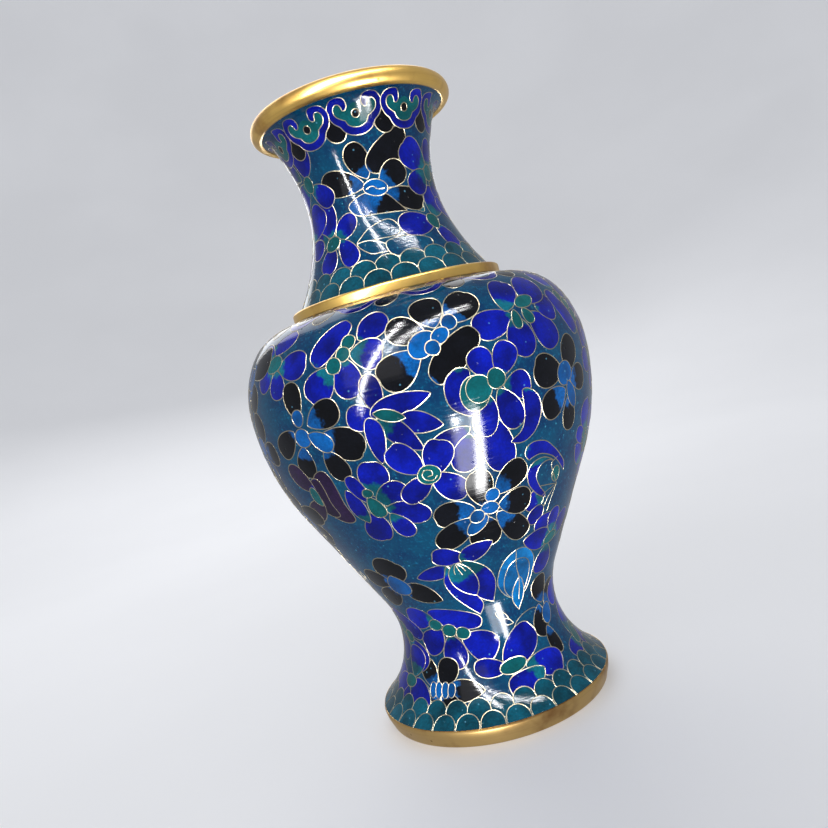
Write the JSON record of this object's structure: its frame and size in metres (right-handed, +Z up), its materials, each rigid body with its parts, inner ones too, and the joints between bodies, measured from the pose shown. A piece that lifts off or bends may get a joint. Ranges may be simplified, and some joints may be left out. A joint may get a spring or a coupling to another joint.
{
  "type": "cloisonne vase",
  "caption": "Baluster vase with a flared neck and foot, of copper covered in wire-celled enamel flowers between gilt rings.",
  "frame": {"origin": "centre of the resting face of the foot ring", "axes": "+Z up along the axis of the vase; -Y is the side that carries the middle of the front decoration"},
  "size_m": [0.1008, 0.1008, 0.18],
  "materials": {
    "copper": "raised sheet copper with a dull oxide skin",
    "gilt_brass": "turned, gilded and polished",
    "cloison_wire": "gilded flat wire, ground flush and polished",
    "counter_enamel": "plain fired enamel, left unpolished",
    "ground_enamel": "polished vitreous enamel, finely speckled",
    "cobalt_enamel": "polished vitreous enamel",
    "black_enamel": "polished vitreous enamel",
    "sky_enamel": "polished vitreous enamel",
    "jade_enamel": "polished vitreous enamel"
  },
  "bodies": {
    "root": {"neck_shell": "copper", "upper_body_shell": "copper", "lower_body_shell": "copper", "foot_shell": "copper", "base_plate": "copper", "rim_ring": "gilt_brass", "collar_ring": "gilt_brass", "foot_ring": "gilt_brass", "neck_lining": "counter_enamel", "body_lining": "counter_enamel", "floor_lining": "counter_enamel", "base_enamel": "counter_enamel", "neck_ground": "ground_enamel", "neck_cloud_scrolls": "cobalt_enamel", "neck_cloud_hearts": "jade_enamel", "neck_cloud_drops": "black_enamel", "neck_cloud_wires": "cloison_wire", "neck_blue_petals": "cobalt_enamel", "neck_black_petals": "black_enamel", "neck_blue_flower_hearts": "jade_enamel", "neck_black_flower_hearts": "sky_enamel", "neck_flower_wires": "cloison_wire", "neck_scale_cells": "jade_enamel", "neck_scale_wires": "cloison_wire", "body_ground": "ground_enamel", "shoulder_cloud_heads": "cobalt_enamel", "shoulder_cloud_drops": "black_enamel", "shoulder_cloud_wires": "cloison_wire", "body_blue_petals": "cobalt_enamel", "body_black_petals": "black_enamel", "body_blue_flower_hearts": "jade_enamel", "body_black_flower_hearts": "sky_enamel", "upper_flower_wires": "cloison_wire", "lower_flower_wires": "cloison_wire", "foot_scale_cells": "jade_enamel", "foot_scale_wires": "cloison_wire"}
  },
  "joints": []
}
